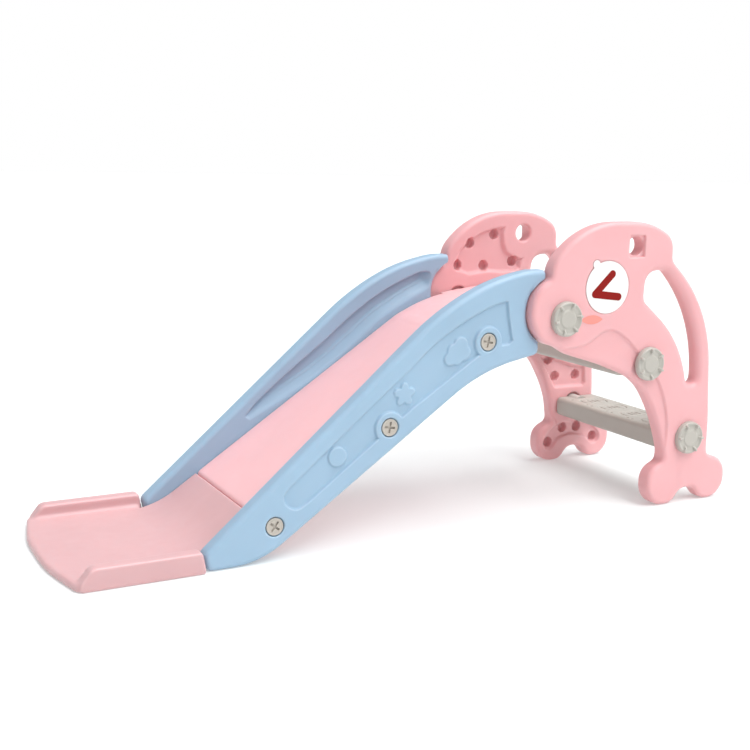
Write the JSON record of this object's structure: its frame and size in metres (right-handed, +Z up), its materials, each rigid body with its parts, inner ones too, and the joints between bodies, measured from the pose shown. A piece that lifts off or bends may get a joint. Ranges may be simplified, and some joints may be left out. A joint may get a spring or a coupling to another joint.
{
  "type": "toddler slide",
  "caption": "Low indoor toddler slide: pink bed and run-out between pale blue rails, hung on animal-head side panels with grey steps and hand knobs",
  "frame": {"origin": "on the floor, at the centre of the slide's length and width", "axes": "+X from the run-out towards the steps, +Y to the right of a child sliding down, +Z up"},
  "size_m": [1.263, 0.4148, 0.5275],
  "materials": {
    "panel_plastic": "moulded, satin",
    "bed_plastic": "moulded, satin",
    "rail_plastic": "moulded, satin",
    "step_plastic": "moulded, satin",
    "knob_plastic": "moulded, satin",
    "bolt_plastic": "moulded, polished",
    "insert_plastic": "moulded, plain",
    "eye_plastic": "smooth",
    "eye_print": "printed",
    "cheek_print": "printed"
  },
  "bodies": {
    "slide": {"left_rail": "rail_plastic", "right_rail": "rail_plastic", "upper_bed": "bed_plastic", "lower_bed": "bed_plastic", "left_top_rail_bolt": "bolt_plastic", "left_middle_rail_bolt": "bolt_plastic", "left_low_rail_bolt": "bolt_plastic", "right_top_rail_bolt": "bolt_plastic", "right_middle_rail_bolt": "bolt_plastic", "right_low_rail_bolt": "bolt_plastic", "left_rail_nuts": "insert_plastic", "right_rail_nuts": "insert_plastic", "pivot_sockets": "insert_plastic"},
    "step_frame": {"left_side_panel": "panel_plastic", "right_side_panel": "panel_plastic", "upper_step": "step_plastic", "lower_step": "step_plastic", "upper_step_sockets": "insert_plastic", "lower_step_sockets": "insert_plastic", "left_eye_patch": "eye_plastic", "right_eye_patch": "eye_plastic", "left_eye_mark": "eye_print", "right_eye_mark": "eye_print", "left_cheek_patch": "cheek_print", "right_cheek_patch": "cheek_print"},
    "left_pivot_knob": {"left_pivot_knob": "knob_plastic"},
    "right_pivot_knob": {"right_pivot_knob": "knob_plastic"},
    "left_upper_step_knob": {"left_upper_step_knob": "knob_plastic"},
    "right_upper_step_knob": {"right_upper_step_knob": "knob_plastic"},
    "left_lower_step_knob": {"left_lower_step_knob": "knob_plastic"},
    "right_lower_step_knob": {"right_lower_step_knob": "knob_plastic"}
  },
  "joints": [
    {"name": "fold", "type": "hinge", "parent": "slide", "child": "step_frame", "pos_m": [0.2365, 0, 0.364], "axis": [0, 1, 0], "range_deg": [0, 41]},
    {"name": "left_pivot_knob_turn", "type": "hinge", "parent": "slide", "child": "left_pivot_knob", "pos_m": [0.2365, -0.195, 0.364], "axis": [0, -1, 0], "continuous": true},
    {"name": "right_pivot_knob_turn", "type": "hinge", "parent": "slide", "child": "right_pivot_knob", "pos_m": [0.2365, 0.195, 0.364], "axis": [0, 1, 0], "continuous": true},
    {"name": "left_upper_step_knob_turn", "type": "hinge", "parent": "step_frame", "child": "left_upper_step_knob", "pos_m": [0.4255, -0.195, 0.273], "axis": [0, -1, 0], "continuous": true},
    {"name": "right_upper_step_knob_turn", "type": "hinge", "parent": "step_frame", "child": "right_upper_step_knob", "pos_m": [0.4255, 0.195, 0.273], "axis": [0, 1, 0], "continuous": true},
    {"name": "left_lower_step_knob_turn", "type": "hinge", "parent": "step_frame", "child": "left_lower_step_knob", "pos_m": [0.5305, -0.195, 0.126], "axis": [0, -1, 0], "continuous": true},
    {"name": "right_lower_step_knob_turn", "type": "hinge", "parent": "step_frame", "child": "right_lower_step_knob", "pos_m": [0.5305, 0.195, 0.126], "axis": [0, 1, 0], "continuous": true}
  ]
}
